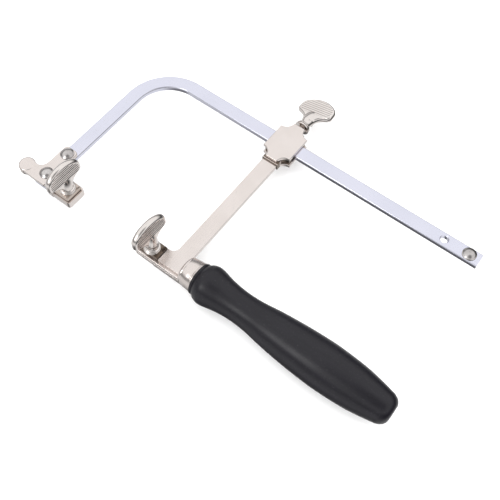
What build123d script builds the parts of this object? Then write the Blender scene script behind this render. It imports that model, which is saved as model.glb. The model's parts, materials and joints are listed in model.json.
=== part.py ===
from build123d import *
import os

# Adjustable piercing-saw frame, lying on its side.
# The origin is on the rear clamp screw's axis, at the height where the blade is held.
# +X runs along the blade line to the handle's butt, +Y to the spine, +Z up out of the frame.

# Bow bar
bar_width = 8.8
bar_thick = 3.5
bar_ease = 0.5
bar_z = 1.25
spine_height = 101.5
spine_end = 146.5
bend_radius = 26.0
front_arm_x = -79.7
front_arm_low = -6.8
hang_hole_dia = 4.6
hang_hole_inset = 22.2
stop_inset = 6.6

# Dome rivets
rivet_head_dia = 8.2
rivet_head_height = 2.1
rivet_shank_dia = 4.0
rivet_tail_dia = 6.6
rivet_tail_height = 0.8
rivet_tail_taper = 0.8

# Front bracket
bracket_thick = 2.4
bracket_side = 0.3
bracket_top = 21.0
bracket_low = -7.4
bracket_corner = 1.6
upper_rivet_y = 16.6
lower_rivet_y = -0.4
nose_x = -93.4
nose_y = -2.6
nose_radius = 5.0
nose_thick = 5.2
nose_round = 1.5
nose_root = 0.95
neck_width = 5.6
front_base_length = 12.8
front_base_low = -6.2
front_base_high = 6.6
front_riser_high = 4.0
front_base_thick = 4.6
front_riser = 4.2

# Blade clamps, the same jaw plate thickness front and rear
jaw_thick = 2.5
jaw_gap = 0.4
jaw_edge = 0.4
front_screw_x = -63.9
front_jaw_length = 11.4
front_jaw_low = -5.6
front_jaw_high = 5.6
rear_jaw_front = -8.8
rear_jaw_length = 15.4

# Wing screws
wing_width = 24.2
wing_height = 19.0
wing_shoulder_height = 13.2
wing_shoulder_round = 4.6
wing_tip_height = 8.2
wing_under_height = 6.2
wing_thick = 4.0
wing_round = 1.4
wing_sag = 0.62
collar_dia = 9.6
collar_height = 2.2
neck_dia = 7.6
stem = 7.0
front_stem = 2.8
lock_stem = 6.2
clamp_turn = 2.0
screw_dia = 4.0
lock_screw_dia = 3.0
screw_end = 0.5

# Slider head
head_width = 18.8
head_height = 28.8
head_corner = 5.6
head_drop = 15.2
head_plate = 2.2
core_inset = 0.8
lip_drop = 1.1
lip_side = 0.5
arm_tongue = 8.0

# Lock screw and shoe
lock_gap = 2.2
lock_turn = 13.0
lock_travel = 1.0
shoe_length = 9.0
shoe_height = 1.6
shoe_width = 2.9

# Slider arm
arm_x = 16.7
arm_width = 9.8
arm_thick = 2.5
arm_fillet = 4.0
arm_fillet_share = 0.9
foot_low = -3.6
foot_high = 5.2

# Rear clamp body
rear_body_front = -8.8
rear_body_thick = 5.2
rear_body_low = -5.2
rear_step_x = 3.0
rear_step_drop = 1.6
tang_width = 7.0
tang_thick = 5.0
tang_depth = 55.0

# Ferrule and handle
handle_axis_y = 1.5
handle_axis_z = 1.25
ferrule_front = 22.5
ferrule_length = 9.0
ferrule_front_dia = 16.0
ferrule_rear_dia = 18.2
ferrule_wall = 1.2
ferrule_cover = 3.6
handle_length = 122.2
lip_dia = 19.0
lip_length = 1.6
swell_dia = 23.2
swell_at = 7.0
throat_dia = 19.8
throat_at = 16.5
waist_dia = 17.6
waist_at = 29.5
flank_dia = 21.6
flank_at = 49.5
belly_dia = 25.6
belly_at = 79.0
taper_dia = 23.8
taper_at = 100.0
butt_dia = 17.8
butt_round = 4.5

# Clearances
slide_gap = 0.3
loose_gap = 0.3
thread_gap = 0.05

# Derived places
bar_front_z = bar_z + bar_thick / 2
bar_back_z = bar_z - bar_thick / 2
bar_top = spine_height + bar_width / 2
bar_low = spine_height - bar_width / 2
plate_top_z = bar_front_z + bracket_thick
bracket_left = front_arm_x - bar_width / 2 - bracket_side
bracket_right = front_arm_x + bar_width / 2 + bracket_side
riser_left = front_arm_x + bar_width / 2 + loose_gap
riser_right = riser_left + front_riser
front_base_right = riser_right + front_base_length
jaw_low_z = jaw_gap
jaw_top_z = jaw_low_z + jaw_thick
head_low = spine_height - head_drop
head_top = head_low + head_height
head_back_z = bar_back_z - slide_gap
head_front_z = bar_front_z + slide_gap
shoe_top = bar_top + shoe_height
tongue_end = head_low + arm_tongue
handle_front = ferrule_front + ferrule_length
foot_right = handle_front - ferrule_cover
arm_low_z = 0.0
arm_top_z = arm_low_z + arm_thick


def block(x0, x1, y0, y1, z0, z1):
    """A box given by its faces along X, Y and Z."""
    centre = Pos((x0 + x1) / 2, (y0 + y1) / 2, (z0 + z1) / 2)
    return centre * Box(x1 - x0, y1 - y0, z1 - z0)


def rod(x, y, z0, z1, dia):
    """A round bar along Z."""
    return Pos(x, y, (z0 + z1) / 2) * Cylinder(dia / 2, z1 - z0)


def upright_edges(body):
    return body.edges().filter_by(Axis.Z)


def along_axis(body):
    """Turn a body made about +Z so that its axis lies along +X on the handle's axis."""
    return Pos(0, handle_axis_y, handle_axis_z) * Rot(0, 90, 0) * body


def bow_bar():
    low = (front_arm_x, front_arm_low)
    corner_low = (front_arm_x, spine_height - bend_radius)
    corner_high = (front_arm_x + bend_radius, spine_height)
    end = (spine_end, spine_height)
    arm = Line(low, corner_low)
    bend = RadiusArc(corner_low, corner_high, bend_radius)
    spine = Line(corner_high, end)
    start = Plane(origin=(low[0], low[1], 0), x_dir=(1, 0, 0), z_dir=(0, 1, 0))
    section = start * Rectangle(bar_width, bar_thick)
    section = fillet(section.vertices(), bar_ease)
    bar = Pos(0, 0, bar_z) * sweep(section, path=arm + bend + spine)
    bar -= rod(spine_end - hang_hole_inset, spine_height, bar_back_z - 1, bar_front_z + 1, hang_hole_dia)
    bar -= rod(spine_end - stop_inset, spine_height, bar_back_z - 1, bar_front_z + 1, rivet_shank_dia)
    bar -= rod(front_arm_x, upper_rivet_y, bar_back_z - 1, bar_front_z + 1, rivet_shank_dia)
    bar -= rod(front_arm_x, lower_rivet_y, bar_back_z - 1, bar_front_z + 1, rivet_shank_dia)
    return bar


def rivet(x, y, seat_z, tail_z):
    """A dome-head rivet: the head sits on seat_z and the upset tail on tail_z."""
    reach = rivet_head_dia / 2
    ball = (reach**2 + rivet_head_height**2) / (2 * rivet_head_height)
    dome = Pos(x, y, seat_z + rivet_head_height - ball) * Sphere(ball)
    dome &= rod(x, y, seat_z, seat_z + rivet_head_height + 1, rivet_head_dia)
    shank = rod(x, y, tail_z, seat_z, rivet_shank_dia)
    tail = Pos(x, y, tail_z - rivet_tail_height / 2)
    tail *= Cone(rivet_tail_dia / 2 - rivet_tail_taper, rivet_tail_dia / 2, rivet_tail_height)
    return dome + shank + tail


def bracket_outline():
    """Plan of the riveted plate: an upright leg over the bar and a neck out to the nose."""
    leg = Pos((bracket_left + bracket_right) / 2, (bracket_low + bracket_top) / 2) * Rectangle(
        bracket_right - bracket_left, bracket_top - bracket_low
    )
    leg = fillet(leg.vertices(), bracket_corner)
    root_x = bracket_left + bracket_corner * 2
    root_y = nose_y + nose_radius
    waist_x = (nose_x + bracket_left) / 2
    waist_y = nose_y + neck_width / 2
    nose_high = (nose_x, nose_y + nose_radius * nose_root)
    nose_low = (nose_x, nose_y - nose_radius * nose_root)
    upper = ThreePointArc(nose_high, (waist_x, waist_y), (root_x, root_y))
    down = Line((root_x, root_y), (root_x, bracket_low))
    lower = Line((root_x, bracket_low), nose_low)
    back = Line(nose_low, nose_high)
    return leg + make_face(Curve() + [upper, down, lower, back])


def front_bracket():
    """Riveted plate, thick nose, and a lower shelf that is the front fixed jaw."""
    plate = Pos(0, 0, bar_front_z) * extrude(bracket_outline(), bracket_thick)
    knob = rod(nose_x, nose_y, plate_top_z - nose_thick, plate_top_z, nose_radius * 2)
    knob = fillet(knob.edges().filter_by(GeomType.CIRCLE), nose_round)
    low = front_base_low
    high = front_riser_high
    riser = block(riser_left, riser_right, low, high, -front_base_thick, plate_top_z)
    bridge = block(bracket_right - bracket_corner, riser_right, low, high, bar_front_z, plate_top_z)
    base = block(riser_left, front_base_right, low, front_base_high, -front_base_thick, 0)
    base = fillet(upright_edges(base).group_by(Axis.X)[-1], bracket_corner)
    body = plate + knob + riser + bridge + base
    body -= rod(front_screw_x, 0, -front_base_thick - 1, 1, screw_dia + 2 * thread_gap)
    body -= rod(front_arm_x, upper_rivet_y, bar_front_z - 1, plate_top_z + 1, rivet_shank_dia)
    body -= rod(front_arm_x, lower_rivet_y, bar_front_z - 1, plate_top_z + 1, rivet_shank_dia)
    return body


def jaw_plate(x0, length, y0, y1, screw_x):
    """A flat pressure plate with a clearance hole for its screw."""
    plate = block(x0, x0 + length, y0, y1, jaw_low_z, jaw_top_z)
    plate = fillet(plate.faces().sort_by(Axis.Z)[-1].edges(), jaw_edge)
    return plate - rod(screw_x, 0, jaw_low_z - 1, jaw_top_z + 1, screw_dia + 2 * loose_gap)


def front_jaw_plate():
    start = riser_right + slide_gap
    return jaw_plate(start, front_jaw_length, front_jaw_low, front_jaw_high, front_screw_x)


def rear_jaw_plate():
    return jaw_plate(rear_jaw_front, rear_jaw_length, foot_low, foot_high, 0)


def wing_outline():
    """The wing seen face on, its foot on the neck at height 0."""
    half = wing_width / 2
    neck = neck_dia / 2
    under = half - wing_round
    sag = (under + neck) / 2 - wing_round
    sag_height = wing_under_height * wing_sag
    crown = ThreePointArc((-half, wing_shoulder_height), (0, wing_height), (half, wing_shoulder_height))
    right = Polyline((half, wing_shoulder_height), (half, wing_tip_height), (under, wing_under_height))
    right_under = ThreePointArc((under, wing_under_height), (sag, sag_height), (neck, 0))
    across = Line((neck, 0), (-neck, 0))
    left_under = ThreePointArc((-neck, 0), (-sag, sag_height), (-under, wing_under_height))
    left = Polyline((-under, wing_under_height), (-half, wing_tip_height), (-half, wing_shoulder_height))
    flat = make_face(Curve() + [crown, right, right_under, across, left_under, left])
    shoulders = flat.vertices().group_by(Axis.Y)[-1]
    flat = fillet(shoulders, wing_shoulder_round)
    _, under_corners, tip_corners = flat.vertices().group_by(Axis.Y)[:3]
    return fillet(under_corners + tip_corners, wing_round)


def wing_screw(shank_length, shank_dia, stem_height):
    """A one-piece wing screw about +Z: the collar stands on z = 0 and the wing faces +X."""
    stand = Plane(origin=(0, 0, stem_height), x_dir=(0, 1, 0), z_dir=(1, 0, 0))
    wing = extrude(stand * wing_outline(), wing_thick / 2, both=True)
    rims = wing.faces().filter_by(Axis.X)
    wing = fillet(rims.edges(), wing_round)
    collar = rod(0, 0, 0, collar_height, collar_dia)
    collar = chamfer(collar.edges().filter_by(GeomType.CIRCLE), jaw_edge)
    post = rod(0, 0, 0, stem_height + collar_height, neck_dia)
    cap = Pos(0, 0, stem_height + collar_height) * Sphere(neck_dia / 2)
    shank = rod(0, 0, -shank_length, collar_height, shank_dia)
    shank = chamfer(shank.edges().filter_by(GeomType.CIRCLE).sort_by(Axis.Z)[0], screw_end)
    return wing + collar + post + cap + shank


def front_clamp_screw():
    length = jaw_top_z + front_base_thick - screw_end
    turned = Rot(0, 0, -clamp_turn) * wing_screw(length, screw_dia, front_stem)
    return Pos(front_screw_x, 0, jaw_top_z) * turned


def rear_clamp_screw():
    length = jaw_top_z + rear_body_thick - screw_end
    turned = Rot(0, 0, -clamp_turn) * wing_screw(length, screw_dia, stem)
    return Pos(0, 0, jaw_top_z) * turned


def ticket(z0, z1, inset):
    """The head's outline: a rectangle with a quarter circle bitten out of each corner."""
    x0 = arm_x - head_width / 2 + inset
    x1 = arm_x + head_width / 2 - inset
    y0 = head_low + inset
    y1 = head_top - inset
    body = block(x0, x1, y0, y1, z0, z1)
    for x in (arm_x - head_width / 2, arm_x + head_width / 2):
        for y in (head_low, head_top):
            body -= rod(x, y, z0 - 1, z1 + 1, 2 * (head_corner + inset))
    return body


def head_front_plate():
    plate = ticket(head_front_z, head_front_z + head_plate, 0)
    return fillet(plate.faces().sort_by(Axis.Z)[-1].edges(), jaw_edge)


def head_back_plate():
    plate = ticket(head_back_z - head_plate, head_back_z, 0)
    return fillet(plate.faces().sort_by(Axis.Z)[0].edges(), jaw_edge)


def head_layer(y0, y1):
    """The stretch of the head between its plates from y0 to y1."""
    half = head_width / 2
    return ticket(head_back_z, head_front_z, core_inset) & block(
        arm_x - half, arm_x + half, y0, y1, head_back_z, head_front_z
    )


def head_arm_block():
    """The block under the bar, with a lip below the plates and a slot for the arm's tongue."""
    half = arm_width / 2
    lip = half + lip_side
    body = head_layer(head_low, bar_low - slide_gap)
    lip_low = head_low - lip_drop
    body += block(arm_x - lip, arm_x + lip, lip_low, head_low + core_inset * 2, head_back_z, head_front_z)
    return body - block(arm_x - half, arm_x + half, lip_low, tongue_end, arm_low_z, arm_top_z)


def head_screw_block():
    """The threaded block over the bar, with a pocket for the shoe."""
    body = head_layer(bar_top + slide_gap, head_top)
    pocket_half = shoe_length / 2 + slide_gap
    pocket_top = shoe_top + lock_travel + slide_gap
    left = arm_x - pocket_half
    right = arm_x + pocket_half
    body -= block(left, right, bar_top, pocket_top, head_back_z, head_front_z)
    hole = Pos(arm_x, head_top, bar_z) * Rot(90, 0, 0)
    return body - hole * Cylinder(lock_screw_dia / 2 + thread_gap, 2 * (head_top - bar_top))


def lock_shoe():
    half = shoe_length / 2
    z0 = bar_z - shoe_width / 2
    return block(arm_x - half, arm_x + half, bar_top, shoe_top, z0, z0 + shoe_width)


def lock_screw():
    length = head_top + lock_gap - shoe_top
    turned = Rot(-90, 0, 0) * Rot(0, 0, 90 - lock_turn) * wing_screw(length, lock_screw_dia, lock_stem)
    return Pos(arm_x, head_top + lock_gap, bar_z) * turned


def slider_arm():
    strip = block(arm_x - arm_width / 2, arm_x + arm_width / 2, foot_low, tongue_end, arm_low_z, arm_top_z)
    foot_left = rear_jaw_front + rear_jaw_length + slide_gap
    foot = block(foot_left, foot_right, foot_low, foot_high, arm_low_z, arm_top_z)
    body = strip + foot
    inner = upright_edges(body).sort_by_distance((arm_x - arm_width / 2, foot_high, bar_z))[0]
    room = arm_x - arm_width / 2 - foot_left
    return fillet(inner, min(arm_fillet, room * arm_fillet_share))


def rear_clamp_body():
    shelf = block(rear_body_front, foot_right, rear_body_low, foot_high, -rear_body_thick, 0)
    shelf = fillet(upright_edges(shelf).group_by(Axis.X)[0], jaw_edge * 2)
    heel = block(rear_step_x, foot_right, rear_body_low, foot_high, -rear_body_thick - rear_step_drop, 0)
    body = shelf + heel
    tang = block(
        foot_right - 1,
        foot_right + tang_depth,
        handle_axis_y - tang_width / 2,
        handle_axis_y + tang_width / 2,
        -tang_thick,
        0,
    )
    body += tang
    return body - rod(0, 0, -rear_body_thick - 1, 1, screw_dia + 2 * thread_gap)


def ferrule():
    front = ferrule_front_dia / 2
    rear = ferrule_rear_dia / 2
    shell = Pos(0, 0, ferrule_front + ferrule_length / 2) * Cone(front, rear, ferrule_length)
    shell = fillet(shell.edges().filter_by(GeomType.CIRCLE).sort_by(Axis.Z)[0], ferrule_wall)
    bore_start = handle_front - ferrule_cover
    bore = Pos(0, 0, bore_start + ferrule_cover / 2) * Cylinder(rear - ferrule_wall, ferrule_cover)
    shell = along_axis(shell - bore)
    shell -= rear_clamp_body()
    return shell - slider_arm()


def handle_profile():
    spigot = ferrule_rear_dia / 2 - ferrule_wall
    start = handle_front - ferrule_cover
    end = handle_front + handle_length
    lip_end = handle_front + lip_length
    shoulder = end - butt_round
    face = butt_dia / 2 - butt_round
    stations = [
        (lip_dia, lip_length),
        (swell_dia, swell_at),
        (throat_dia, throat_at),
        (waist_dia, waist_at),
        (flank_dia, flank_at),
        (belly_dia, belly_at),
        (taper_dia, taper_at),
        (butt_dia, handle_length - butt_round),
    ]
    curve = Spline(*[(dia / 2, handle_front + at) for dia, at in stations])
    rounding = TangentArc((butt_dia / 2, shoulder), (face, end), tangent=curve % 1)
    edge = Polyline(
        (face, end),
        (0, end),
        (0, start),
        (spigot, start),
        (spigot, handle_front),
        (lip_dia / 2, handle_front),
        (lip_dia / 2, lip_end),
    )
    return make_face(Curve() + [curve, rounding, edge])


def handle():
    stand = Plane(origin=(0, 0, 0), x_dir=(1, 0, 0), z_dir=(0, -1, 0))
    solid = revolve(stand * handle_profile(), Axis.Z)
    return along_axis(solid) - rear_clamp_body()


def write(node, body):
    export_step(body, f"parts/{node}.step")


os.makedirs("parts", exist_ok=True)
write("bow_bar", bow_bar())
write("front_bracket", front_bracket())
write("bracket_rivet_upper", rivet(front_arm_x, upper_rivet_y, plate_top_z, bar_back_z))
write("bracket_rivet_lower", rivet(front_arm_x, lower_rivet_y, plate_top_z, bar_back_z))
write("stop_rivet", rivet(spine_end - stop_inset, spine_height, bar_front_z, bar_back_z))
write("front_jaw_plate", front_jaw_plate())
write("front_clamp_screw", front_clamp_screw())
write("head_front_plate", head_front_plate())
write("head_back_plate", head_back_plate())
write("head_arm_block", head_arm_block())
write("head_screw_block", head_screw_block())
write("lock_shoe", lock_shoe())
write("lock_screw", lock_screw())
write("slider_arm", slider_arm())
write("rear_clamp_body", rear_clamp_body())
write("rear_jaw_plate", rear_jaw_plate())
write("rear_clamp_screw", rear_clamp_screw())
write("ferrule", ferrule())
write("handle", handle())
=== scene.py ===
import json
import math

import bmesh
import bpy
from mathutils import Matrix, Vector
from mathutils.kdtree import KDTree


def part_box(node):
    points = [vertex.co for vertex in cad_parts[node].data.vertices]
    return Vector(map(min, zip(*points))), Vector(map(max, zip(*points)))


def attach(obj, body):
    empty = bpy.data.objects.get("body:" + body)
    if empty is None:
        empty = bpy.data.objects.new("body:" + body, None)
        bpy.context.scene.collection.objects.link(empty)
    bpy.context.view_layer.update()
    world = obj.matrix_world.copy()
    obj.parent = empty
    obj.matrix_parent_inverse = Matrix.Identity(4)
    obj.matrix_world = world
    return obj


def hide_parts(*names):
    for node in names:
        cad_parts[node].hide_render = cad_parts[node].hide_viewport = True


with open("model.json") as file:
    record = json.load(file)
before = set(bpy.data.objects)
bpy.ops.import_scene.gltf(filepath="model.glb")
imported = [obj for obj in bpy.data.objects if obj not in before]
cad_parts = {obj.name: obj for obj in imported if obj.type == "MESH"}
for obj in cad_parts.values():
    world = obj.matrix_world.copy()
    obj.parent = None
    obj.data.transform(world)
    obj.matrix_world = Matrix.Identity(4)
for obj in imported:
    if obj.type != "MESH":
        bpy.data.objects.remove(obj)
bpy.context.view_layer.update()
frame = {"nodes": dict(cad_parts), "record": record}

mm = 0.001


def edges(node):
    low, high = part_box(node)  # the node's lowest and highest corners, in millimetres
    return [v / mm for v in low], [v / mm for v in high]


def middle(node):
    low, high = edges(node)
    return [(a + b) / 2 for a, b in zip(low, high)]


def newGroup(name, inputs, outputs):
    group = bpy.data.node_groups.new(name, "ShaderNodeTree")
    for label, kind, value in inputs:
        item = group.interface.new_socket(label, in_out="INPUT", socket_type=kind)
        if value is not None:
            item.default_value = value
    for label, kind in outputs:
        group.interface.new_socket(label, in_out="OUTPUT", socket_type=kind)
    start = group.nodes.new("NodeGroupInput")
    end = group.nodes.new("NodeGroupOutput")
    return group, start, end


def addNode(tree, kind, **settings):
    node = tree.nodes.new(kind)
    for key, value in settings.items():
        setattr(node, key, value)
    return node


def mathNode(tree, operation, a, b=None, clamp=False):
    node = addNode(tree, "ShaderNodeMath", operation=operation, use_clamp=clamp)
    for i, value in enumerate((a, b)):
        if value is None:
            continue
        if isinstance(value, (int, float)):
            node.inputs[i].default_value = value
        else:
            tree.links.new(value, node.inputs[i])
    return node.outputs[0]


def noiseNode(tree, vector, scale, detail=3.0, rough=0.55):
    node = addNode(tree, "ShaderNodeTexNoise")
    node.inputs["Scale"].default_value = scale
    node.inputs["Detail"].default_value = detail
    node.inputs["Roughness"].default_value = rough
    tree.links.new(vector, node.inputs["Vector"])
    return node.outputs[0]


def rangeNode(tree, value, fromLow, fromHigh, toLow, toHigh):
    node = addNode(tree, "ShaderNodeMapRange", clamp=True)
    for i, number in enumerate((fromLow, fromHigh, toLow, toHigh)):
        node.inputs[i + 1].default_value = number
    tree.links.new(value, node.inputs[0])
    return node.outputs[0]


def mixColor(tree, factor, a, b, blend="MIX"):
    node = addNode(tree, "ShaderNodeMix", data_type="RGBA", blend_type=blend)
    for socket, value in ((node.inputs[0], factor), (node.inputs[6], a), (node.inputs[7], b)):
        if isinstance(value, (int, float, tuple)):
            socket.default_value = value
        else:
            tree.links.new(value, socket)
    return node.outputs[2]


def grainGroup():
    # long fine polishing lines along one axis, plus slow waviness of the plating
    inputs = [("Vector", "NodeSocketVector", None), ("Along", "NodeSocketFloat", 12.0),
              ("Across", "NodeSocketFloat", 900.0), ("Ripple", "NodeSocketFloat", 60.0)]
    outputs = [("Lines", "NodeSocketFloat"), ("Cloud", "NodeSocketFloat")]
    group, start, end = newGroup("polishGrain", inputs, outputs)
    scale = addNode(group, "ShaderNodeCombineXYZ")
    group.links.new(start.outputs["Along"], scale.inputs[0])
    group.links.new(start.outputs["Across"], scale.inputs[1])
    group.links.new(start.outputs["Across"], scale.inputs[2])
    stretch = addNode(group, "ShaderNodeVectorMath", operation="MULTIPLY")
    group.links.new(start.outputs["Vector"], stretch.inputs[0])
    group.links.new(scale.outputs[0], stretch.inputs[1])
    lines = noiseNode(group, stretch.outputs[0], 1.0, 4.0, 0.6)
    cloud = addNode(group, "ShaderNodeTexNoise")
    cloud.inputs["Detail"].default_value = 2.0
    group.links.new(start.outputs["Vector"], cloud.inputs["Vector"])
    group.links.new(start.outputs["Ripple"], cloud.inputs["Scale"])
    group.links.new(lines, end.inputs["Lines"])
    group.links.new(cloud.outputs[0], end.inputs["Cloud"])
    return group


def wearGroup():
    # small scattered scratches and pits
    inputs = [("Vector", "NodeSocketVector", None), ("Speck Scale", "NodeSocketFloat", 700.0),
              ("Scratch Scale", "NodeSocketFloat", 220.0)]
    outputs = [("Specks", "NodeSocketFloat"), ("Scratches", "NodeSocketFloat")]
    group, start, end = newGroup("plateWear", inputs, outputs)
    specks = addNode(group, "ShaderNodeTexNoise")
    specks.inputs["Detail"].default_value = 1.0
    group.links.new(start.outputs["Vector"], specks.inputs["Vector"])
    group.links.new(start.outputs["Speck Scale"], specks.inputs["Scale"])
    group.links.new(rangeNode(group, specks.outputs[0], 0.66, 0.76, 0.0, 1.0), end.inputs["Specks"])
    scratch = addNode(group, "ShaderNodeTexVoronoi", feature="DISTANCE_TO_EDGE")
    bend = addNode(group, "ShaderNodeTexNoise")
    bend.inputs["Scale"].default_value = 90.0
    group.links.new(start.outputs["Vector"], bend.inputs["Vector"])
    group.links.new(start.outputs["Vector"], scratch.inputs["Vector"])
    group.links.new(start.outputs["Scratch Scale"], scratch.inputs["Scale"])
    thin = rangeNode(group, scratch.outputs[0], 0.0, 0.012, 1.0, 0.0)
    patch = rangeNode(group, bend.outputs[0], 0.55, 0.7, 0.0, 1.0)
    group.links.new(mathNode(group, "MULTIPLY", thin, patch), end.inputs["Scratches"])
    return group


polishGrain = grainGroup()
plateWear = wearGroup()

finishes = {
    "chrome": {"color": (0.775, 0.78, 0.89), "shade": (0.70, 0.71, 0.82), "rough": 0.12, "spread": 0.05,
               "along": 10.0, "across": 2200.0, "ripple": 38.0, "bump": 0.014, "wear": 0.05, "grime": 0.55},
    "nickel": {"color": (0.815, 0.75, 0.72), "shade": (0.72, 0.655, 0.62), "rough": 0.18, "spread": 0.06,
               "along": 14.0, "across": 1900.0, "ripple": 55.0, "bump": 0.018, "wear": 0.06, "grime": 0.85},
    # grip: "groove" is the strength of the painted shade in the rib grooves
    "grip": {"color": (0.84, 0.79, 0.76), "shade": (0.74, 0.68, 0.65), "rough": 0.13, "spread": 0.05,
             "groove": 0.26, "along": 14.0, "across": 1900.0, "ripple": 70.0, "bump": 0.014, "wear": 0.06,
             "grime": 0.6},
    "stud": {"color": (0.66, 0.63, 0.62), "shade": (0.30, 0.28, 0.28), "rough": 0.15, "spread": 0.06,
             "along": 60.0, "across": 700.0, "ripple": 260.0, "bump": 0.05, "wear": 0.1, "grime": 0.85},
    # polished: brownish plating, its base colour partly darkened as painted shade for the shaded surroundings
    # it mirrors
    "polished": {"color": (0.62, 0.55, 0.50), "shade": (0.46, 0.39, 0.34), "rough": 0.06, "spread": 0.03,
                 "along": 24.0, "across": 1500.0, "ripple": 90.0, "bump": 0.014, "wear": 0.04, "grime": 0.85},
    # painted shade: a near-black brown for the head blocks, standing for the shadow in the gaps under the
    # head plates, and for the rear jaw plate, standing for the dark reflection it shows
    "paintedDark": {"color": (0.19, 0.15, 0.12), "shade": (0.10, 0.075, 0.06), "rough": 0.1, "spread": 0.05,
                  "along": 24.0, "across": 1500.0, "ripple": 90.0, "bump": 0.014, "wear": 0.04, "grime": 0.7},
}
wearPlan = {"speckShare": 0.12, "pitColor": (0.46, 0.43, 0.42), "dustColor": (0.12, 0.12, 0.12)}
# painted shade for narrow gaps and grooves: reach of the occlusion test, its thresholds and the shade colour
gapShadePlan = {"reach": 0.0016, "start": 0.52, "full": 0.2, "color": (0.10, 0.078, 0.062)}


def cornerGrime(tree, clean, strength):
    # painted shade: a dark brown colour laid into the narrow gaps between pieces, where shade falls, found by
    # an occlusion test
    gap = addNode(tree, "ShaderNodeAmbientOcclusion", samples=6)
    gap.inputs["Distance"].default_value = gapShadePlan["reach"]
    gapShadeAmount = rangeNode(tree, gap.outputs["AO"], gapShadePlan["full"], gapShadePlan["start"], strength, 0.0)
    return mixColor(tree, gapShadeAmount, clean, (*gapShadePlan["color"], 1))


def metalFinish(name, turn=(0, 0, 0)):
    look = finishes[name]
    key = name + "".join(str(round(math.degrees(a))) for a in turn)
    if key in bpy.data.materials:
        return bpy.data.materials[key]
    material = bpy.data.materials.new(key)
    material.use_nodes = True
    tree = material.node_tree
    shader = tree.nodes["Principled BSDF"]
    place = addNode(tree, "ShaderNodeTexCoord")
    mapping = addNode(tree, "ShaderNodeMapping")
    mapping.inputs["Rotation"].default_value = turn
    tree.links.new(place.outputs["Object"], mapping.inputs["Vector"])
    grain = addNode(tree, "ShaderNodeGroup", node_tree=polishGrain)
    wear = addNode(tree, "ShaderNodeGroup", node_tree=plateWear)
    for group in (grain, wear):
        tree.links.new(mapping.outputs[0], group.inputs["Vector"])
    grain.inputs["Along"].default_value = look["along"]
    grain.inputs["Across"].default_value = look["across"]
    grain.inputs["Ripple"].default_value = look["ripple"]
    base = mixColor(tree, rangeNode(tree, grain.outputs["Cloud"], 0.35, 0.7, 0.0, 0.55),
                    (*look["color"], 1), (*look["shade"], 1))
    streak = rangeNode(tree, grain.outputs["Lines"], 0.45, 0.75, 0.0, 0.14)
    lined = mixColor(tree, streak, base, (*look["shade"], 1))
    speck = mathNode(tree, "MULTIPLY", wear.outputs["Specks"], wearPlan["speckShare"])
    wornAndGrooveShaded = mixColor(tree, speck, lined, (*wearPlan["pitColor"], 1))
    if "groove" in look:  # painted shade darkening the grooves of the grips, where shade falls
        groove = addNode(tree, "ShaderNodeAttribute", attribute_name="groove")
        grooveShade = mathNode(tree, "MULTIPLY", groove.outputs["Fac"], look["groove"])
        wornAndGrooveShaded = mixColor(tree, grooveShade, wornAndGrooveShaded, (*gapShadePlan["color"], 1))
    # painted shade darkens the base colour in the gaps between pieces
    tree.links.new(cornerGrime(tree, wornAndGrooveShaded, look["grime"]), shader.inputs["Base Color"])
    roughLine = rangeNode(tree, grain.outputs["Lines"], 0.3, 0.7, look["rough"] - look["spread"] / 2,
                          look["rough"] + look["spread"])
    scuffed = mathNode(tree, "MULTIPLY", wear.outputs["Scratches"], look["wear"])
    tree.links.new(mathNode(tree, "ADD", roughLine, scuffed, True), shader.inputs["Roughness"])
    cut = mathNode(tree, "MULTIPLY", wear.outputs["Scratches"], 0.5)
    height = mathNode(tree, "SUBTRACT", grain.outputs["Lines"], cut)
    height = mathNode(tree, "ADD", height, mathNode(tree, "MULTIPLY", grain.outputs["Cloud"], 0.6))
    bump = addNode(tree, "ShaderNodeBump")
    bump.inputs["Strength"].default_value = look["bump"]
    bump.inputs["Distance"].default_value = 0.0002
    tree.links.new(height, bump.inputs["Height"])
    tree.links.new(bump.outputs[0], shader.inputs["Normal"])
    shader.inputs["Metallic"].default_value = 1.0
    return material


lacquerLook = {"color": (0.0034, 0.0028, 0.006), "pale": (0.0064, 0.0055, 0.0098), "rough": 0.4,
               "coat": 0.28, "coatRough": 0.24, "bump": 0.1}


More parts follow.
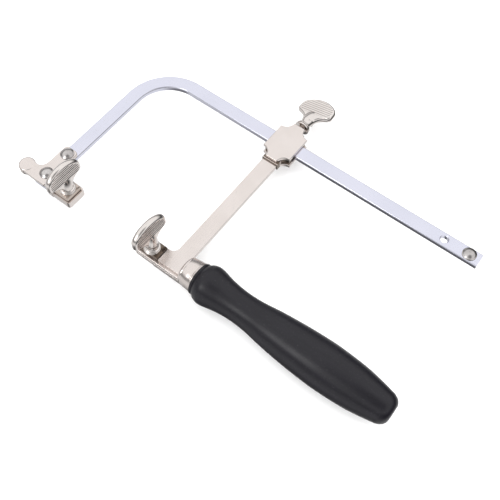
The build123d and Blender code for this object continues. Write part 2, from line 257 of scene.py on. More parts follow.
def lacquerFinish():
    look = lacquerLook
    material = bpy.data.materials.new("blackLacquer")
    material.use_nodes = True
    tree = material.node_tree
    shader = tree.nodes["Principled BSDF"]
    place = addNode(tree, "ShaderNodeTexCoord")
    grain = addNode(tree, "ShaderNodeGroup", node_tree=polishGrain)
    wear = addNode(tree, "ShaderNodeGroup", node_tree=plateWear)
    tree.links.new(place.outputs["Object"], grain.inputs["Vector"])
    tree.links.new(place.outputs["Object"], wear.inputs["Vector"])
    grain.inputs["Along"].default_value = 25.0
    grain.inputs["Across"].default_value = 420.0
    grain.inputs["Ripple"].default_value = 45.0
    wear.inputs["Speck Scale"].default_value = 1500.0
    base = mixColor(tree, rangeNode(tree, grain.outputs["Lines"], 0.4, 0.75, 0.0, 0.8),
                    (*look["color"], 1), (*look["pale"], 1))
    speck = mathNode(tree, "MULTIPLY", wear.outputs["Specks"], wearPlan["speckShare"])
    dusty = mixColor(tree, speck, base, (*wearPlan["dustColor"], 1))
    tree.links.new(dusty, shader.inputs["Base Color"])
    rough = rangeNode(tree, grain.outputs["Cloud"], 0.3, 0.7, look["rough"] - 0.05, look["rough"] + 0.08)
    scuffed = mathNode(tree, "MULTIPLY", wear.outputs["Scratches"], 0.15)
    tree.links.new(mathNode(tree, "ADD", rough, scuffed, True), shader.inputs["Roughness"])
    swell = mathNode(tree, "MULTIPLY", grain.outputs["Cloud"], 0.8)
    height = mathNode(tree, "ADD", grain.outputs["Lines"], swell)
    bump = addNode(tree, "ShaderNodeBump")
    bump.inputs["Strength"].default_value = look["bump"]
    bump.inputs["Distance"].default_value = 0.0004
    tree.links.new(height, bump.inputs["Height"])
    tree.links.new(bump.outputs[0], shader.inputs["Normal"])
    shader.inputs["Coat Weight"].default_value = look["coat"]
    shader.inputs["Coat Roughness"].default_value = look["coatRough"]
    shader.inputs["Specular IOR Level"].default_value = 0.3
    return material


print("materials ready")


def finishPiece(name, bm, material, body, slot, *nodes, smooth=35, weighted=True):
    bmesh.ops.remove_doubles(bm, verts=bm.verts, dist=0.002 * mm)
    bmesh.ops.recalc_face_normals(bm, faces=bm.faces)
    mesh = bpy.data.meshes.new(name)
    bm.to_mesh(mesh)
    bm.free()
    for face in mesh.polygons:
        face.use_smooth = True
    mesh.set_sharp_from_angle(angle=math.radians(smooth))
    mesh.materials.append(material)
    piece = bpy.data.objects.new(name, mesh)
    bpy.context.scene.collection.objects.link(piece)
    if weighted:
        shade = piece.modifiers.new("faceShade", "WEIGHTED_NORMAL")
        shade.keep_sharp = True
    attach(piece, body)
    if nodes:
        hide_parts(*nodes)
    return piece


def scaled(bm, matrix=None):
    bmesh.ops.scale(bm, vec=(mm, mm, mm), verts=bm.verts)
    if matrix is not None:
        bmesh.ops.transform(bm, matrix=matrix, verts=bm.verts)
    return bm


def roundOff(bm, chosen, width, segments=3):
    bmesh.ops.bevel(bm, geom=chosen, offset=width, offset_type="OFFSET", affect="EDGES", segments=segments,
                    profile=0.5, material=-1, clamp_overlap=True)


def outlineFace(bm, points, height):
    return bm.faces.new([bm.verts.new((x, y, height)) for x, y in points])


def raised(bm, points, low, high):
    # a flat plate of this outline between two heights
    base = outlineFace(bm, points, low)
    walls = bmesh.ops.extrude_face_region(bm, geom=[base])
    top = [v for v in walls["geom"] if isinstance(v, bmesh.types.BMVert)]
    bmesh.ops.translate(bm, vec=(0, 0, high - low), verts=top)
    return top


def arcPoints(cx, cy, radius, start, stop, count):
    turns = [math.radians(start + (stop - start) * i / count) for i in range(count + 1)]
    return [(cx + radius * math.cos(a), cy + radius * math.sin(a)) for a in turns]


def plate(points, low, high, ease, segments=3):
    bm = bmesh.new()
    raised(bm, points, low, high)
    rims = [e for e in bm.edges if abs(e.verts[0].co.z - e.verts[1].co.z) < 1e-6]
    roundOff(bm, rims, ease, segments)
    return bm


def cuboid(low, high, ease, segments=3):
    bm = bmesh.new()
    bmesh.ops.create_cube(bm, size=1.0)
    size = [b - a for a, b in zip(low, high)]
    centre = [(a + b) / 2 for a, b in zip(low, high)]
    bmesh.ops.scale(bm, vec=size, verts=bm.verts)
    bmesh.ops.translate(bm, vec=centre, verts=bm.verts)
    roundOff(bm, bm.edges[:], ease, segments)
    return bm


def turned(profile, steps):
    # spins a half outline of (radius, height) points round Z
    bm = bmesh.new()
    verts = [bm.verts.new((r, 0, z)) for r, z in profile]
    chain = [bm.edges.new(pair) for pair in zip(verts, verts[1:])]
    bmesh.ops.spin(bm, geom=verts + chain, cent=(0, 0, 0), axis=(0, 0, 1), dvec=(0, 0, 0),
                   angle=math.tau, steps=steps, use_merge=True, use_duplicate=False)
    bmesh.ops.remove_doubles(bm, verts=bm.verts, dist=0.001)
    return bm


def join(first, *others):
    for other in others:
        mesh = bpy.data.meshes.new("part")
        other.to_mesh(mesh)
        other.free()
        first.from_mesh(mesh)
        bpy.data.meshes.remove(mesh)
    return first


def closeEnds(bm):
    # fills the open loops that end up buried in a neighbouring shape
    bmesh.ops.holes_fill(bm, edges=[e for e in bm.edges if e.is_boundary], sides=0)
    return bm


def cutAway(piece, cutter):
    # takes the cutter's volume out of a finished piece
    mod = piece.modifiers.new("cut", "BOOLEAN")
    mod.operation = "DIFFERENCE"
    mod.solver = "EXACT"
    mod.object = cutter
    order = piece.modifiers.find("cut")
    piece.modifiers.move(order, 0)
    cooked = bpy.data.meshes.new_from_object(piece.evaluated_get(bpy.context.evaluated_depsgraph_get()))
    piece.modifiers.clear()
    old = piece.data
    piece.data = cooked
    cooked.name = old.name
    bpy.data.meshes.remove(old)
    bpy.data.objects.remove(cutter)


def smoothCurve(points, steps):
    # a smooth line through (radius, height) points, read from a Catmull-Rom blend
    out = []
    padded = [points[0]] + list(points) + [points[-1]]
    for i in range(1, len(padded) - 2):
        p0, p1, p2, p3 = [Vector(p) for p in padded[i - 1:i + 3]]
        for k in range(steps):
            t = k / steps
            out.append(0.5 * ((2 * p1) + (p2 - p0) * t + (2 * p0 - 5 * p1 + 4 * p2 - p3) * t * t
                              + (3 * p1 - p0 - 3 * p2 + p3) * t ** 3))
    out.append(Vector(points[-1]))
    return [(v.x, v.y) for v in out]


chromeX = metalFinish("chrome")
nickelX = metalFinish("nickel")
studMetal = metalFinish("stud")
nickelY = metalFinish("nickel", (0, 0, math.radians(90)))
gripMetal = metalFinish("grip", (0, math.radians(90), 0))
polishedX = metalFinish("polished")
paintedDarkX = metalFinish("paintedDark")
blackLacquer = lacquerFinish()

barPlan = {"width": 8.8, "bendRadius": 26.0, "ease": 0.8, "easeSteps": 5, "bendSteps": 48, "straightRuns": 10,
           "holeRadius": 2.3, "holeFlare": 0.35}


def growTip(bm, tip, keep=False):
    # extrudes the bar's end face and gives back what moves
    grown = bmesh.ops.extrude_face_region(bm, geom=tip)["geom"]
    if not keep:
        bmesh.ops.delete(bm, geom=tip, context="FACES_ONLY")
    verts = [v for v in grown if isinstance(v, bmesh.types.BMVert)]
    return verts, [f for f in grown if isinstance(f, bmesh.types.BMFace)]


def bowBar():
    plan = barPlan
    barLow, barHigh = edges("bow_bar")
    half = plan["width"] / 2
    bend = plan["bendRadius"]
    thick = barHigh[2] - barLow[2]
    armX = barLow[0] + half
    spineY = barHigh[1] - half
    bm = bmesh.new()
    bmesh.ops.create_grid(bm, x_segments=1, y_segments=1, size=0.5)
    bmesh.ops.scale(bm, vec=(plan["width"], thick, 1), verts=bm.verts)
    bmesh.ops.bevel(bm, geom=bm.verts[:], offset=plan["ease"], offset_type="OFFSET", affect="VERTICES",
                    segments=plan["easeSteps"], profile=0.5, material=-1)
    upright = Matrix.Rotation(math.radians(90), 3, "X")
    bmesh.ops.rotate(bm, cent=(0, 0, 0), matrix=upright, verts=bm.verts)
    bmesh.ops.translate(bm, vec=(armX, barLow[1], (barLow[2] + barHigh[2]) / 2), verts=bm.verts)
    tip = bm.faces[:]
    run = (spineY - bend - barLow[1]) / plan["straightRuns"]
    for step in range(plan["straightRuns"]):
        verts, tip = growTip(bm, tip, keep=step == 0)
        bmesh.ops.translate(bm, vec=(0, run, 0), verts=verts)
    centre = (armX + bend, spineY - bend, 0)
    turn = Matrix.Rotation(-math.radians(90) / plan["bendSteps"], 3, "Z")
    for step in range(plan["bendSteps"]):
        verts, tip = growTip(bm, tip)
        bmesh.ops.rotate(bm, cent=centre, matrix=turn, verts=verts)
    run = (barHigh[0] - armX - bend) / plan["straightRuns"]
    for step in range(plan["straightRuns"]):
        verts, tip = growTip(bm, tip)
        bmesh.ops.translate(bm, vec=(run, 0, 0), verts=verts)
    piece = finishPiece("bowBarPlated", scaled(bm), chromeX, "bow", "chrome", "bow_bar", smooth=30)
    hole = frame["record"]["mounts"][2]["pos_m"]
    flare = plan["holeFlare"]
    radius = plan["holeRadius"]
    z0 = -thick / 2
    z1 = thick / 2
    shape = [(0, z0 - 1), (radius + flare, z0 - 1), (radius + flare, z0), (radius, z0 + flare),
             (radius, z1 - flare), (radius + flare, z1), (radius + flare, z1 + 1), (0, z1 + 1)]
    drill = scaled(turned(shape, 64), Matrix.Translation(hole))
    bmesh.ops.recalc_face_normals(drill, faces=drill.faces)
    mesh = bpy.data.meshes.new("drill")
    drill.to_mesh(mesh)
    drill.free()
    cutter = bpy.data.objects.new("drill", mesh)
    bpy.context.scene.collection.objects.link(cutter)
    cutAway(piece, cutter)
    return piece


bowBar()
print("bow bar done")

rivetPlan = {"headHeight": 2.1, "shank": 2.0, "tail": 3.3, "tailHeight": 0.8, "round": 0.35, "flat": 0.25,
             "steps": 64, "domeSteps": 14}


def domeRivet(node, label, material, slot):
    plan = rivetPlan
    low, high = edges(node)
    cx, cy, _ = middle(node)
    radius = (high[0] - low[0]) / 2
    height = plan["headHeight"]
    seat = high[2] - height
    shank, tail, foot = plan["shank"], plan["tail"], low[2] + plan["tailHeight"]
    ball = (radius ** 2 + height ** 2) / (2 * height)
    reach = math.asin(radius / ball)
    profile = [(0, low[2]), (tail - 0.9, low[2]), (tail - 0.1, low[2] + 0.35), (tail, foot), (shank, foot),
               (shank, seat), (radius - plan["round"], seat), (radius, seat + plan["flat"])]
    for i in range(1, plan["domeSteps"] + 1):
        a = reach * (1 - i / plan["domeSteps"]) * 0.94
        profile.append((ball * math.sin(a), high[2] - ball * (1 - math.cos(a))))
    bm = turned(profile, plan["steps"])
    place = Matrix.Translation((cx * mm, cy * mm, 0))
    finishPiece(label, scaled(bm, place), material, "bow", slot, node, smooth=40)


for node, label, slot in (("bracket_rivet_upper", "domeRivetUpper", "nickel"),
                          ("bracket_rivet_lower", "domeRivetLower", "nickel"),
                          ("stop_rivet", "stopRivetDome", "chrome")):
    domeRivet(node, label, studMetal, slot)
print("rivets done")

bracketPlan = {"noseX": -93.4, "noseY": -2.6, "noseRadius": 5.0, "noseThick": 5.2, "ease": 0.45,
               "plateThick": 2.4, "left": -84.4, "right": -75.0, "low": -7.4, "top": 21.0, "corner": 2.2,
               "shelfHigh": 6.6, "shelfLow": -6.2, "shelfThick": 4.6, "riserHigh": 4.0, "riserWide": 4.2,
               "seam": 0.06}


def frontBracket():
    plan = bracketPlan
    low, high = edges("front_bracket")
    top = high[2]
    base = top - plan["plateThick"]
    nx, ny, nr = plan["noseX"], plan["noseY"], plan["noseRadius"]
    c = plan["corner"]
    outline = arcPoints(plan["right"] - c, plan["top"] - c, c, 0, 90, 8)
    outline += arcPoints(plan["left"] + c, plan["top"] - c, c, 90, 180, 8)
    sweep = smoothCurve([(plan["left"], 7.5), (plan["left"] - 0.5, 4.2), (plan["left"] - 2.2, 1.9),
                         (plan["left"] - 4.6, 1.3), (nx + 1.6, ny + nr * 0.93)], 6)
    outline += sweep
    outline += arcPoints(nx, ny, nr, 92, 246, 20)
    outline += smoothCurve([(nx + 1.0, ny - nr + 0.35), (-88.0, -7.4), (-82.0, plan["low"] - 0.1),
                            (plan["right"] - 1.2, plan["low"])], 4)
    outline += arcPoints(plan["right"] - 1.0, plan["low"] + 1.0, 1.0, -90, 0, 4)
    leg = plate(outline, base, top, plan["ease"])
    edge = 1.5
    knob = [(0, top - plan["noseThick"]), (nr - edge, top - plan["noseThick"])]
    knob += [(nr - edge + edge * math.sin(a), top - plan["noseThick"] + edge * (1 - math.cos(a)))
             for a in [math.radians(90 * i / 6) for i in range(1, 7)]]
    knob += [(nr - edge * 0.8 + edge * 0.8 * math.cos(a), top - edge * 0.5 + edge * 0.68 * math.sin(a))
             for a in [math.radians(90 * i / 6) for i in range(0, 7)]]
    knob += [(nr * 0.45, top + 0.26), (nr * 0.2, top + 0.18), (0, top + 0.16)]
    nose = turned(knob, 64)
    bmesh.ops.translate(nose, vec=(nx, ny, 0), verts=nose.verts)
    shelf = plan["shelfThick"]
    riserLeft = plan["right"]
    riserRight = riserLeft + plan["riserWide"]
    riser = cuboid((riserLeft, plan["shelfLow"] - 0.6, -shelf), (riserRight, plan["riserHigh"], top), 0.6)
    bridge = cuboid((riserLeft - 1.6, plan["shelfLow"] - 0.3, base + 0.2),
                    (riserRight - 0.8, plan["riserHigh"] - 0.3, top - plan["seam"]), 0.3)
    baseOutline = [(riserLeft, plan["shelfLow"]), (high[0] - 1.6, plan["shelfLow"] - 0.15)]
    baseOutline += arcPoints(high[0] - 1.6, plan["shelfLow"] + 1.4, 1.6, -90, 0, 6)
    baseOutline += arcPoints(high[0] - 1.6, plan["shelfHigh"] - 1.6, 1.6, 0, 90, 6)
    baseOutline += [(riserLeft, plan["shelfHigh"])]
    tray = plate(baseOutline, -shelf, 0, 0.4)
    bm = join(leg, nose, riser, bridge, tray)
    finishPiece("frontBracketPlated", scaled(bm), nickelX, "bow", "nickel", "front_bracket")


frontBracket()
print("front bracket done")

jawPlan = {"ease": 0.3}


def jawPlate(node, label, body, material):
    low, high = edges(node)
    bm = cuboid(low, high, jawPlan["ease"])
    finishPiece(label, scaled(bm), material, body, "polished", node)


jawPlate("front_jaw_plate", "frontJawPolished", "front_jaw", polishedX)
# the rear jaw plate's near-black colour is a painted dark reflection
jawPlate("rear_jaw_plate", "rearJawPaintedDark", "rear_jaw", paintedDarkX)
print("jaw plates done")

wingPlan = {"halfWidth": 12.1, "height": 19.0, "shoulder": 13.2, "tipHeight": 8.2, "underHeight": 6.2,
            "tuck": 1.4, "crownBlend": 14, "thick": 4.0, "rim": 1.4, "border": 1.8, "ribPitch": 1.52,
            "ribDepth": 0.24, "ribShare": 0.62, "ribStart": 6.6, "ribEnd": 17.0, "rows": 200, "columns": 76,
            "edgePoints": 3000, "neckRadius": 3.8, "hubTop": 8.2, "hubBlend": 5}
screwPlan = {"collarRadius": 4.8, "collarHeight": 2.2, "neckRadius": 3.8, "threadDepth": 0.3,
             "threadSteps": 20, "clampRadius": 2.0, "clampPitch": 0.7, "clampTurn": 2.0,
             "lockRadius": 1.5, "lockPitch": 0.5,
             "lockTurn": 13.0, "lockGap": 2.2, "steps": 64}


def wingSide(h):
    # half the width between the wing's two straight sides, down to the neck
    plan = wingPlan
    neck = plan["neckRadius"]
    under = plan["halfWidth"] - plan["tuck"]
    if h <= plan["underHeight"]:
        t = h / plan["underHeight"]
        return neck + (under - neck) * (0.28 * t + 0.72 * t ** 3.2)
    if h <= plan["tipHeight"]:
        t = (h - plan["underHeight"]) / (plan["tipHeight"] - plan["underHeight"])
        return under + plan["tuck"] * math.sin(t * math.pi / 2)
    return plan["halfWidth"]


def wingHalfWidth(h):
    # the side meets the arc of the crown in a rounded shoulder
    plan = wingPlan
    rise = plan["height"] - plan["shoulder"]
    radius = (plan["halfWidth"] ** 2 + rise ** 2) / (2 * rise)
    drop = radius - (plan["height"] - h)
    crown = math.sqrt(max(1e-6, radius ** 2 - max(0.0, drop) ** 2))
    blend = plan["crownBlend"]
    return (crown ** -blend + wingSide(h) ** -blend) ** (-1 / blend)


def wingEdge():
    # finds how far a point is from the wing's outline
    plan = wingPlan
    count = plan["edgePoints"]
    tree = KDTree(count + 1)
    for i in range(count + 1):
        h = plan["height"] * (1 - (1 - i / count) ** 2)
        tree.insert((wingHalfWidth(h), h, 0), i)
    tree.balance()
    return tree


def smoothStep(x, low, high):
    t = min(1.0, max(0.0, (x - low) / (high - low)))
    return t * t * (3 - 2 * t)


def wingBlade():
    # one face of the wing, pushed out of a flat grid, then mirrored
    plan = wingPlan
    outline = wingEdge()
    rim = plan["rim"]
    bm = bmesh.new()
    bmesh.ops.create_grid(bm, x_segments=plan["columns"], y_segments=plan["rows"], size=0.5)
    # groove depth of each point; the grip finish also reads it to paint shade into the grooves
    groove = bm.verts.layers.float.new("groove")
    for v in bm.verts:
        across = 2 * v.co.x
        h = plan["height"] * (1 - (0.5 - v.co.y) ** 2)
        y = math.sin(across * math.pi / 2) * wingHalfWidth(h)
        onEdge = abs(across) > 0.9999 or h > plan["height"] - 0.0001
        depth = 0.0 if onEdge else outline.find((abs(y), h, 0))[2]
        x = plan["thick"] / 2 * (math.sqrt(1 - ((rim - depth) / rim) ** 2) if depth < rim else 1.0)
        hubRadius = plan["neckRadius"] * math.sqrt(max(0.0, 1 - (h / plan["hubTop"]) ** 2))
        hub = math.sqrt(max(0.0, hubRadius ** 2 - y * y))
        field = smoothStep(depth, rim, plan["border"]) * (1 - smoothStep(hub, 1.2, 2.2))
        field *= smoothStep(h, plan["ribStart"] - 0.6, plan["ribStart"])
        field *= 1 - smoothStep(h, plan["ribEnd"], plan["ribEnd"] + 0.5)
        valley = abs((h / plan["ribPitch"]) % 1.0 - 0.5) * 2
        v[groove] = field * max(0.0, (valley - 1) / plan["ribShare"] + 1)
        x -= plan["ribDepth"] * v[groove]
        if depth > 0:
            x = (x ** plan["hubBlend"] + hub ** plan["hubBlend"]) ** (1 / plan["hubBlend"])
        v.co = Vector((x, y, h))
    bmesh.ops.mirror(bm, geom=bm.verts[:] + bm.edges[:] + bm.faces[:], axis="X", merge_dist=0.001)
    bmesh.ops.remove_doubles(bm, verts=bm.verts, dist=0.004)
    return closeEnds(bm)


def threadRidge(radius, bottom, top, pitch):
    # a V-shaped ridge wound up the shank between two heights
    depth = screwPlan["threadDepth"]
    bm = bmesh.new()
    core = radius - depth
    ridge = ((core - 0.1, 0, bottom), (radius, 0, bottom + pitch / 2), (core - 0.1, 0, bottom + pitch))
    verts = [bm.verts.new(p) for p in ridge]
    chain = [bm.edges.new(pair) for pair in zip(verts, verts[1:])]
    turns = (top - bottom) / pitch - 1
    perTurn = screwPlan["threadSteps"]
    steps = int(turns * perTurn)
    bmesh.ops.spin(bm, geom=verts + chain, cent=(0, 0, 0), axis=(0, 0, 1), dvec=(0, 0, pitch / perTurn),
                   angle=math.tau * steps / perTurn, steps=steps, use_merge=False, use_duplicate=False)
    bmesh.ops.remove_doubles(bm, verts=bm.verts, dist=0.004)
    return closeEnds(bm)


def wingScrew(node, label, body, stem, shankRadius, shankLength, pitch, matrix):
    plan = screwPlan
    blade = wingBlade()
    bmesh.ops.translate(blade, vec=(0, 0, stem), verts=blade.verts)
    r, c, n = plan["collarRadius"], plan["collarHeight"], plan["neckRadius"]
    core = shankRadius - plan["threadDepth"]
    lift = stem - c
    profile = [(0, -shankLength), (core - 0.3, -shankLength), (core, -shankLength + 0.4), (core, 0),
               (r - 0.4, 0), (r - 0.1, 0.12), (r, 0.45), (r, c * 0.42), (r - 0.12, c * 0.5),
               (r - 0.65, c * 0.56), (r - 0.65, c * 0.62), (r - 0.2, c * 0.68), (r - 0.15, c * 0.82),
               (r - 0.35, c * 0.96), (n + 0.15, c + 0.08), (n - 0.25, c + 0.35), (n - 0.45, c + lift * 0.35),
               (n - 0.35, c + lift * 0.7), (n - 0.02, stem), (n - 0.4, stem + 0.3), (0, stem + 0.4)]
    post = turned(profile, plan["steps"])
    thread = threadRidge(shankRadius, -shankLength + 0.3, 0.2, pitch)
    bm = join(blade, post, thread)
    finishPiece(label, scaled(bm, matrix), gripMetal, body, "nickel", node, smooth=50, weighted=False)


def clampPlace(jaw, mount):
    _, high = edges(jaw)
    cx, cy = frame["record"]["mounts"][mount]["pos_m"][:2]
    turn = Matrix.Rotation(-math.radians(screwPlan["clampTurn"]), 4, "Z")
    return Matrix.Translation((cx, cy, high[2] * mm)) @ turn


clampScrews = (("front_clamp_screw", "frontWingScrew", "front_screw", "front_jaw_plate", 1),
               ("rear_clamp_screw", "rearWingScrew", "rear_screw", "rear_jaw_plate", 0))
for node, label, body, jaw, mount in clampScrews:
    low, high = edges(node)
    foot = edges(jaw)[1][2]
    stem = high[2] - foot - wingPlan["height"]
    wingScrew(node, label, body, stem, screwPlan["clampRadius"], foot - low[2], screwPlan["clampPitch"],
              clampPlace(jaw, mount))

barMiddle = 1.25  # height of the bar's and the handle's middle
lockAxis = middle("head_front_plate")
lockFoot = edges("head_front_plate")[1][1] + screwPlan["lockGap"]
lockPlace = Matrix.Translation((lockAxis[0] * mm, lockFoot * mm, barMiddle * mm))
lockPlace = lockPlace @ Matrix.Rotation(math.radians(-90), 4, "X")
lockPlace = lockPlace @ Matrix.Rotation(math.radians(90 - screwPlan["lockTurn"]), 4, "Z")
lockStem = edges("lock_screw")[1][1] - lockFoot - wingPlan["height"]
lockReach = lockFoot - edges("lock_shoe")[1][1]
wingScrew("lock_screw", "lockWingScrew", "lock", lockStem, screwPlan["lockRadius"], lockReach,
          screwPlan["lockPitch"], lockPlace)
print("wing screws done")

headPlan = {"bite": 5.6, "ease": 0.4, "biteSteps": 12}


def headOutline(low, high):
    r, n = headPlan["bite"], headPlan["biteSteps"]
    points = arcPoints(low[0], low[1], r, 90, 0, n)
    points += arcPoints(high[0], low[1], r, 180, 90, n)
    points += arcPoints(high[0], high[1], r, 270, 180, n)
    points += arcPoints(low[0], high[1], r, 360, 270, n)
    return points


for node, label in (("head_front_plate", "headPlateFront"), ("head_back_plate", "headPlateBack")):
    low, high = edges(node)
    face = plate(headOutline(low, high), low[2], high[2], headPlan["ease"])
    finishPiece(label, scaled(face), nickelY, "handle_frame", "nickel", node)
print("slider head done")

armPlan = {"ease": 0.3, "fillet": 4.0, "width": 9.8}


def sliderArm():
    plan = armPlan
    low, high = edges("slider_arm")
    left = middle("head_front_plate")[0] - plan["width"] / 2
    right = left + plan["width"]
    footHigh = edges("rear_jaw_plate")[1][1]
    f = plan["fillet"]
    points = [(low[0], low[1]), (high[0], low[1]), (high[0], footHigh), (right, footHigh),
              (right, high[1]), (left, high[1])]
    points += arcPoints(left - f, footHigh + f, f, 0, -90, 10)
    points += [(low[0], footHigh)]
    bm = plate(points, low[2], high[2], plan["ease"])
    finishPiece("sliderArmPlated", scaled(bm), nickelY, "handle_frame", "nickel", "slider_arm")


sliderArm()
print("slider arm done")

clampPlan = {"ease": 0.5, "layer": 2.3, "gap": 0.16, "base": -5.2, "heelStart": 3.0, "heelBase": -6.8}


def rearClampBody():
    plan = clampPlan
    low, high = edges("rear_clamp_body")
    footHigh = edges("rear_jaw_plate")[1][1]
    ferruleEnd = edges("ferrule")[0][0] + 3
    upper = cuboid((low[0], low[1], -plan["layer"]), (ferruleEnd, footHigh, 0), plan["ease"])
    seam = -plan["layer"] - plan["gap"]
    lower = cuboid((low[0], low[1], plan["base"]), (ferruleEnd, footHigh, seam), plan["ease"])
    core = cuboid((low[0] + 0.8, low[1] + 0.4, -5.0), (ferruleEnd, footHigh - 0.4, -0.3), 0.2)
    heel = cuboid((plan["heelStart"], low[1] + 0.2, plan["heelBase"]),
                  (ferruleEnd, footHigh - 0.2, -4.6), 0.8)
    bm = join(upper, lower, core, heel)
    finishPiece("rearClampPlated", scaled(bm), nickelX, "handle_frame", "nickel", "rear_clamp_body")


rearClampBody()
print("rear clamp done")

gripPlan = {"steps": 160, "curveSteps": 10, "ferruleFront": 8.0}
handleAxis = Vector((0, 1.5 * mm, barMiddle * mm))
alongHandle = Matrix.Translation(handleAxis) @ Matrix.Rotation(math.radians(90), 4, "Y")


def ferruleCap():
    low, high = edges("ferrule")
    x0, x1 = low[0], high[0]
    front = gripPlan["ferruleFront"]
    rear = (high[1] - low[1]) / 2
    profile = [(0, x0), (front - 1.0, x0), (front - 0.45, x0 + 0.12), (front - 0.1, x0 + 0.45),
               (front + 0.05, x0 + 0.9), (front + 0.15, x0 + 1.2), (front + 0.02, x0 + 1.45),
               (front + 0.12, x0 + 1.7)]
    flare = [(front + 0.3, x0 + 2.6), (front + 0.62, x0 + 4.6), (rear - 0.32, x1 - 2.2),
             (rear - 0.2, x1 - 1.2)]
    profile += smoothCurve(flare, 4)
    profile += [(rear - 0.28, x1 - 1.05), (rear - 0.05, x1 - 0.85), (rear, x1 - 0.5),
                (rear - 0.05, x1 - 0.15), (rear - 0.3, x1), (rear - 1.2, x1), (rear - 1.2, x1 - 3.0),
                (0, x1 - 3.0)]
    bm = turned(profile, gripPlan["steps"])
    bm = scaled(bm, alongHandle)
    finishPiece("ferruleCap", bm, nickelX, "handle_frame", "nickel", "ferrule", smooth=60)


def handleGrip():
    low, high = edges("handle")
    start = edges("ferrule")[1][0]
    end = high[0]
    profile = [(0, start - 2.5), (7.6, start - 2.5), (7.6, start + 0.02), (9.2, start + 0.02),
               (9.42, start + 0.2), (9.5, start + 0.6), (9.46, start + 1.0), (9.2, start + 1.35),
               (9.05, start + 1.6)]
    body = [(9.05, start + 1.6), (9.75, start + 2.2), (10.7, start + 3.6), (11.35, start + 5.4),
            (11.6, start + 7.0), (11.3, start + 10.0), (9.9, start + 16.5), (9.05, start + 23.0),
            (8.8, start + 29.5), (9.25, start + 37.5), (10.8, start + 49.5), (12.1, start + 64.0),
            (12.8, start + 79.0), (12.6, start + 89.5), (11.9, start + 100.0), (10.6, start + 109.0),
            (8.9, end - 4.6)]
    profile += smoothCurve(body, gripPlan["curveSteps"])[1:]
    profile += [(8.5, end - 3.6), (7.9, end - 2.4), (6.9, end - 1.2), (5.6, end - 0.35), (4.4, end),
                (2.5, end), (0, end)]
    bm = turned(profile, gripPlan["steps"])
    bm = scaled(bm, alongHandle)
    finishPiece("handleGrip", bm, blackLacquer, "handle_frame", "black", "handle", smooth=60)


ferruleCap()
handleGrip()
print("handle done")

lipPlan = {"beadWide": 0.45, "beadProud": 0.08, "beadDeep": 0.3, "beadInset": 0.3, "ease": 0.07,
           "half": 5.2}


def lipBead():
    # bright bead on the lip where the arm goes into the head; the lip block round it carries painted shade
    plan = lipPlan
    low, high = edges("head_arm_block")
    centre = middle("head_front_plate")[0]
    start = low[1] + plan["beadInset"]
    lowCorner = (centre - plan["half"], start, high[2] - plan["beadDeep"])
    highCorner = (centre + plan["half"], start + plan["beadWide"], high[2] + plan["beadProud"])
    bead = cuboid(lowCorner, highCorner, plan["ease"])
    finishPiece("headLipBead", scaled(bead), nickelX, "handle_frame", "nickel")


lipBead()
# the head blocks get the near-black colour as painted shade for the gaps they sit in
kept = {"head_arm_block": paintedDarkX, "head_screw_block": paintedDarkX, "lock_shoe": polishedX}
for node, material in kept.items():
    mesh = frame["nodes"][node].data
    mesh.materials.clear()
    mesh.materials.append(material)
print("head blocks and shoe done")

studio = {"floor": -11.6, "floorSize": 3.0, "floorTone": 0.95, "lens": 53.44, "shift": 0.001,
          "camera": (0.1618, -0.1240, 0.35805), "mirrored": 1.02, "even": 2.2,
          "farSide": (0.85, 0.53), "sideBlend": (-0.25, 0.25),
          "farTones": ((0.0, 0.92), (0.19, 0.80), (0.27, 0.40), (0.35, 0.05), (0.52, 0.05), (0.61, 0.5),
                       (0.70, 0.95), (1.0, 1.0)),
          "nearTones": ((0.0, 0.16), (0.10, 0.12), (0.18, 0.45), (0.28, 0.80), (0.48, 0.85), (0.56, 0.28),
                        (0.63, 0.30), (0.73, 0.95), (1.0, 1.0)),
          "leftTones": ((0.0, 0.55), (0.12, 0.62), (0.30, 0.80), (0.46, 0.75), (0.54, 0.22), (0.62, 0.28),
                        (0.73, 0.95), (1.0, 1.0)), "leftBlend": (-0.30, -0.44),
          "darkDirection": (0.36, -0.33, 0.87), "darkBlend": (0.86, 0.97), "darkShare": 0.7}


def paleFloor():
    bm = bmesh.new()
    bmesh.ops.create_grid(bm, x_segments=1, y_segments=1, size=studio["floorSize"] / 2)
    bmesh.ops.translate(bm, vec=(0, 0, studio["floor"] * mm), verts=bm.verts)
    mesh = bpy.data.meshes.new("paleFloor")
    bm.to_mesh(mesh)
    bm.free()
    floor = bpy.data.objects.new("paleFloor", mesh)
    material = bpy.data.materials.new("paleFloor")
    material.use_nodes = True
    shader = material.node_tree.nodes["Principled BSDF"]
    tone = studio["floorTone"]
    shader.inputs["Base Color"].default_value = (tone, tone, tone, 1)
    shader.inputs["Roughness"].default_value = 0.9
    shader.inputs["Specular IOR Level"].default_value = 0.1
    mesh.materials.append(material)
    bpy.context.scene.collection.objects.link(floor)
    floor.visible_glossy = False


def softLight(name, place, target, size, power, mirrored=True):
    light = bpy.data.lights.new(name, "AREA")
    light.shape = "RECTANGLE"
    light.size, light.size_y = size
    light.energy = power
    lamp = bpy.data.objects.new(name, light)
    lamp.location = place
    lamp.rotation_euler = (Vector(target) - Vector(place)).to_track_quat("-Z", "Y").to_euler()
    lamp.visible_glossy = mirrored
    bpy.context.scene.collection.objects.link(lamp)


def toneRamp(tree, height, tones):
    ramp = addNode(tree, "ShaderNodeValToRGB")
    tree.links.new(height, ramp.inputs[0])
    stops = ramp.color_ramp.elements
    for stop, (position, tone) in zip((stops[0], stops[1]), (tones[0], tones[-1])):
        stop.position, stop.color = position, (tone, tone, tone, 1)
    for position, tone in tones[1:-1]:
        stop = stops.new(position)
        stop.color = (tone, tone, tone, 1)
    return ramp.outputs[0]


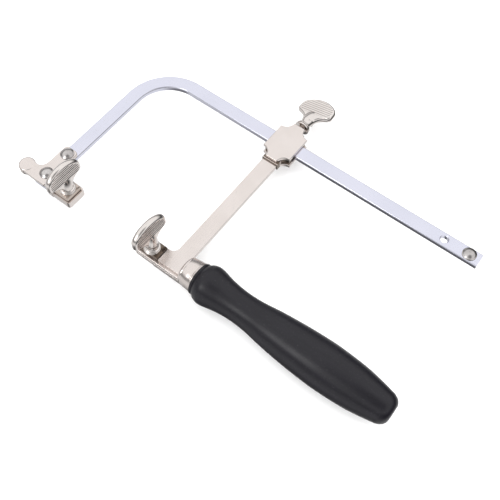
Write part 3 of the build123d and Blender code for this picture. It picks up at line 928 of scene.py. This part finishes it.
def studioWorld():
    # even white light on everything, and bands of darker tones that only the plating mirrors
    world = bpy.data.worlds.new("studioWorld")
    world.use_nodes = True
    tree = world.node_tree
    mirrored = tree.nodes["Background"]
    place = addNode(tree, "ShaderNodeTexCoord")
    split = addNode(tree, "ShaderNodeSeparateXYZ")
    tree.links.new(place.outputs["Generated"], split.inputs[0])
    height = rangeNode(tree, split.outputs[2], -1.0, 1.0, 0.0, 1.0)
    turn = mathNode(tree, "ADD", mathNode(tree, "MULTIPLY", split.outputs[0], studio["farSide"][0]),
                    mathNode(tree, "MULTIPLY", split.outputs[1], studio["farSide"][1]))
    far = rangeNode(tree, turn, *studio["sideBlend"], 0.0, 1.0)
    left = rangeNode(tree, split.outputs[0], *studio["leftBlend"], 0.0, 1.0)
    nearTones = toneRamp(tree, height, studio["nearTones"])
    near = mixColor(tree, left, nearTones, toneRamp(tree, height, studio["leftTones"]))
    tones = mixColor(tree, far, near, toneRamp(tree, height, studio["farTones"]))
    facing = addNode(tree, "ShaderNodeVectorMath", operation="DOT_PRODUCT")
    facing.inputs[1].default_value = studio["darkDirection"]
    tree.links.new(place.outputs["Generated"], facing.inputs[0])
    dark = rangeNode(tree, facing.outputs["Value"], *studio["darkBlend"], 0.0, studio["darkShare"])
    tones = mixColor(tree, dark, tones, (0.03, 0.03, 0.03, 1))
    tree.links.new(tones, mirrored.inputs[0])
    mirrored.inputs["Strength"].default_value = studio["mirrored"]
    even = addNode(tree, "ShaderNodeBackground")
    even.inputs["Strength"].default_value = studio["even"]
    ray = addNode(tree, "ShaderNodeLightPath")
    mix = addNode(tree, "ShaderNodeMixShader")
    tree.links.new(ray.outputs["Is Glossy Ray"], mix.inputs[0])
    tree.links.new(even.outputs[0], mix.inputs[1])
    tree.links.new(mirrored.outputs[0], mix.inputs[2])
    tree.links.new(mix.outputs[0], tree.nodes["World Output"].inputs["Surface"])
    bpy.context.scene.world = world


def mainView():
    camera = bpy.data.cameras.new("mainCamera")
    camera.lens = studio["lens"]
    camera.sensor_width = 36.0
    camera.shift_x = -studio["shift"]
    camera.shift_y = studio["shift"]
    camera.clip_start = 0.01
    camera.clip_end = 20.0
    view = bpy.data.objects.new("mainCamera", camera)
    right = Vector((0.79582, 0.60554, -0.00014))
    up = Vector((-0.53069, 0.69756, 0.48143))
    back = Vector((0.29162, -0.38306, 0.87649))
    turn = Matrix((right, up, back)).transposed().to_4x4()
    view.matrix_world = Matrix.Translation(studio["camera"]) @ turn
    bpy.context.scene.collection.objects.link(view)
    bpy.context.scene.camera = view


paleFloor()
studioWorld()
softLight("overheadBox", (-0.15, 0.25, 0.9), (0.03, 0.05, 0), (0.9, 0.9), 1.6, mirrored=False)
softLight("leftBox", (-0.25, -0.72, 0.6), (0, 0.05, 0), (0.36, 0.36), 1.1)
softLight("rightBox", (0.55, -0.6, 0.55), (0, 0.05, 0), (0.16, 0.16), 0.5, mirrored=False)
mainView()
bpy.context.scene.view_settings.view_transform = "Standard"
print("studio done")
